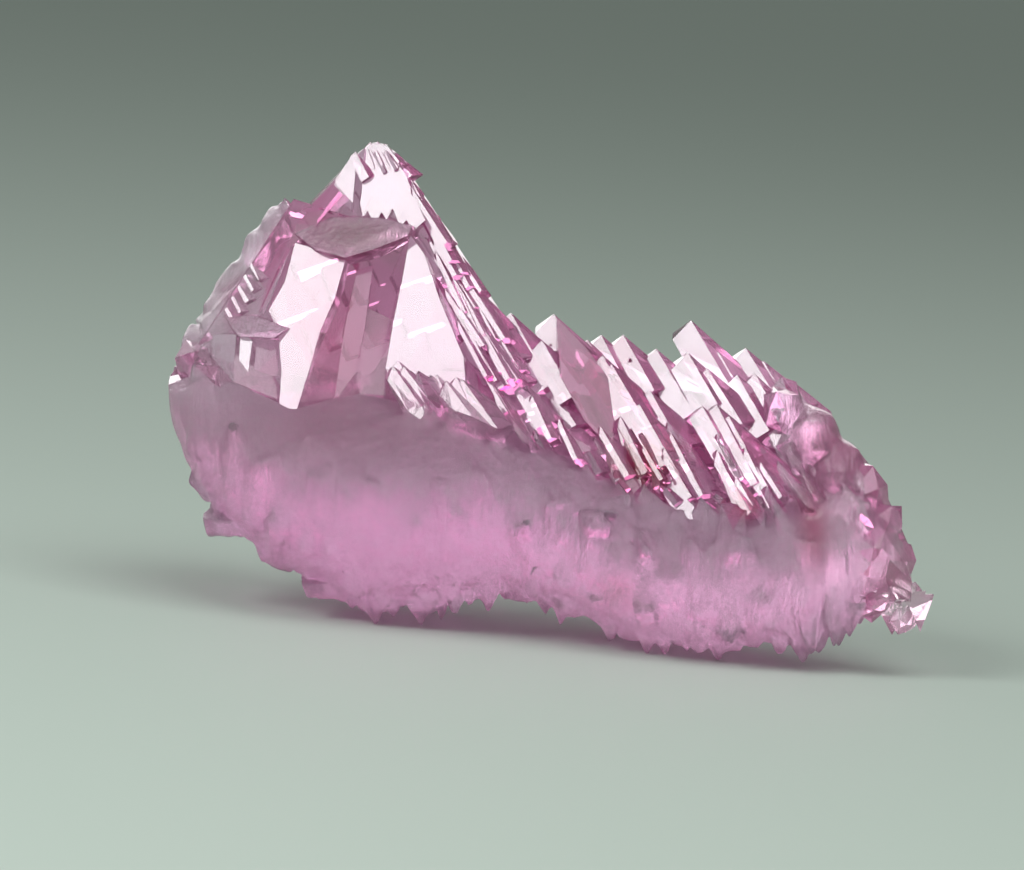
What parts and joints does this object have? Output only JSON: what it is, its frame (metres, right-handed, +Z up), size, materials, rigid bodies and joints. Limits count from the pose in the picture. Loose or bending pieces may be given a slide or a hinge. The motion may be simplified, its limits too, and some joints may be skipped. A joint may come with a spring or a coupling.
{
  "type": "kunzite crystal",
  "caption": "Etched pink kunzite crystal: a peak and a slope of slanting mirror-faced teeth over a frosted body, resting on its lower tips as a display specimen.",
  "frame": {"origin": "middle of the bounding box's base, on the surface that the stone rests on", "axes": "+X along the stone's length towards its thin glassy end, +Z up as it stands, -Y towards the viewer who sees the mirror faces"},
  "size_m": [0.0788, 0.0314, 0.0471],
  "materials": {
    "kunzite": "clear pink crystal, frosted by etching, with polished growth faces"
  },
  "bodies": {
    "root": {"kunzite_crystal": "kunzite"}
  },
  "joints": []
}
